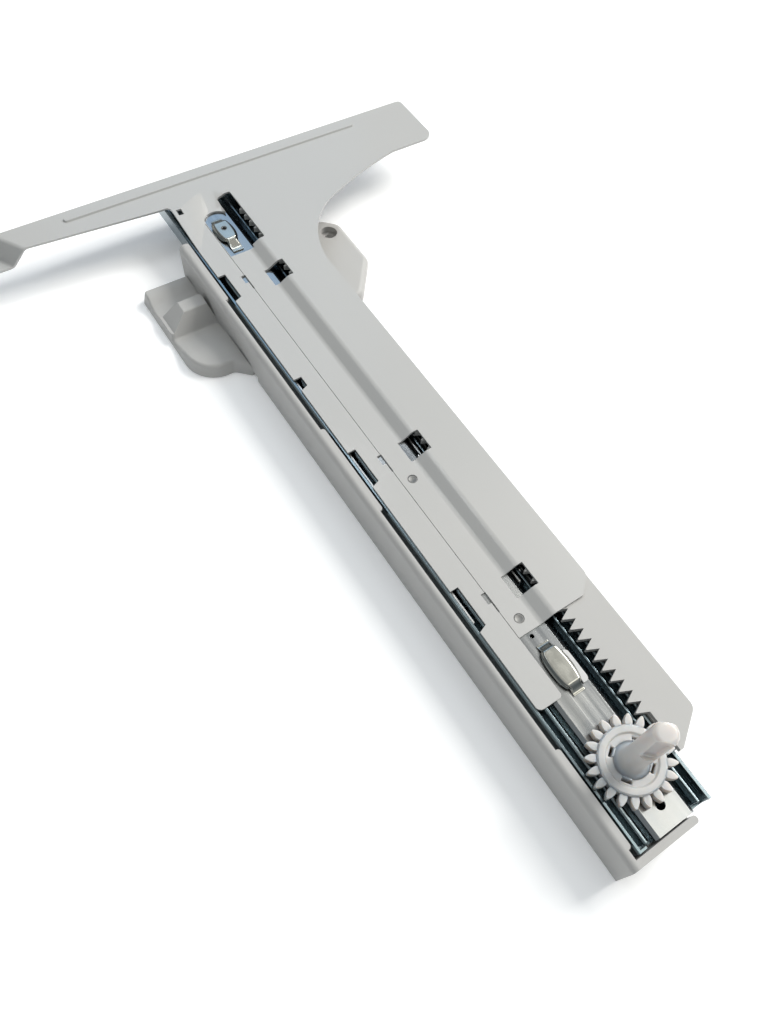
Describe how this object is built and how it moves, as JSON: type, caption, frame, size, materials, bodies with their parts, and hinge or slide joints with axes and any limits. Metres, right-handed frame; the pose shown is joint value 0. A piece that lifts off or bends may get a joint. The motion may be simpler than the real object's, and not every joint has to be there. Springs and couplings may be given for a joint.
{
  "type": "drawer slide rail with rack and pinion",
  "caption": "One-side drawer slide in a plastic housing with a toothed rack, a three-member ball rail, a T-shaped bracket and a pinion with a stub shaft that rolls along the rack.",
  "frame": {"origin": "on the housing's back plane at its rear end face, on the slide's centreline", "axes": "+X the way the drawer opens, +Z out of the cabinet wall into the compartment, +Y to the housing's closed side wall"},
  "size_m": [0.4885, 0.319, 0.077],
  "materials": {
    "housing_plastic": "satin",
    "zinc_steel": "bright zinc",
    "screw_steel": "plain",
    "cage_steel": "plain",
    "ball_steel": "polished",
    "white_paint": "gloss",
    "rivet_steel": "plain",
    "clip_steel": "polished",
    "pad_plastic": "satin",
    "gear_plastic": "satin"
  },
  "bodies": {
    "housing": {"rail_housing": "housing_plastic", "outer_rail": "zinc_steel", "outer_rail_screws": "screw_steel"},
    "outer_ball_set": {"outer_cage_left": "cage_steel", "outer_cage_right": "cage_steel", "outer_balls": "ball_steel"},
    "middle_member": {"middle_rail": "zinc_steel"},
    "inner_ball_set": {"inner_cage_left": "cage_steel", "inner_cage_right": "cage_steel", "inner_balls": "ball_steel"},
    "drawer_member": {"inner_rail": "zinc_steel", "drawer_bracket": "white_paint", "bracket_rivets": "rivet_steel", "front_clip": "clip_steel", "front_clip_rivet": "rivet_steel", "rear_clip": "clip_steel", "clip_pad": "pad_plastic", "pinion_pin": "rivet_steel"},
    "pinion_gear": {"pinion": "gear_plastic", "pinion_shaft": "gear_plastic"}
  },
  "joints": [
    {"name": "drawer_travel", "type": "slide", "parent": "housing", "child": "drawer_member", "axis": [1, 0, 0], "range_m": [0, 0.4]},
    {"name": "middle_travel", "type": "slide", "parent": "housing", "child": "middle_member", "axis": [1, 0, 0], "range_m": [0, 0.2]},
    {"name": "outer_ball_travel", "type": "slide", "parent": "housing", "child": "outer_ball_set", "axis": [1, 0, 0], "range_m": [0, 0.1]},
    {"name": "inner_ball_travel", "type": "slide", "parent": "housing", "child": "inner_ball_set", "axis": [1, 0, 0], "range_m": [0, 0.3]},
    {"name": "pinion_roll", "type": "hinge", "parent": "drawer_member", "child": "pinion_gear", "pos_m": [0.0379, 0, 0.0285], "axis": [0, 0, 1], "range_deg": [-1146, 0]}
  ],
  "couplings": [
    {"joint": "middle_travel", "follows": "drawer_travel", "ratio": 0.5},
    {"joint": "outer_ball_travel", "follows": "drawer_travel", "ratio": 0.25},
    {"joint": "inner_ball_travel", "follows": "drawer_travel", "ratio": 0.75},
    {"joint": "pinion_roll", "follows": "drawer_travel", "rad_per_m": -50}
  ]
}
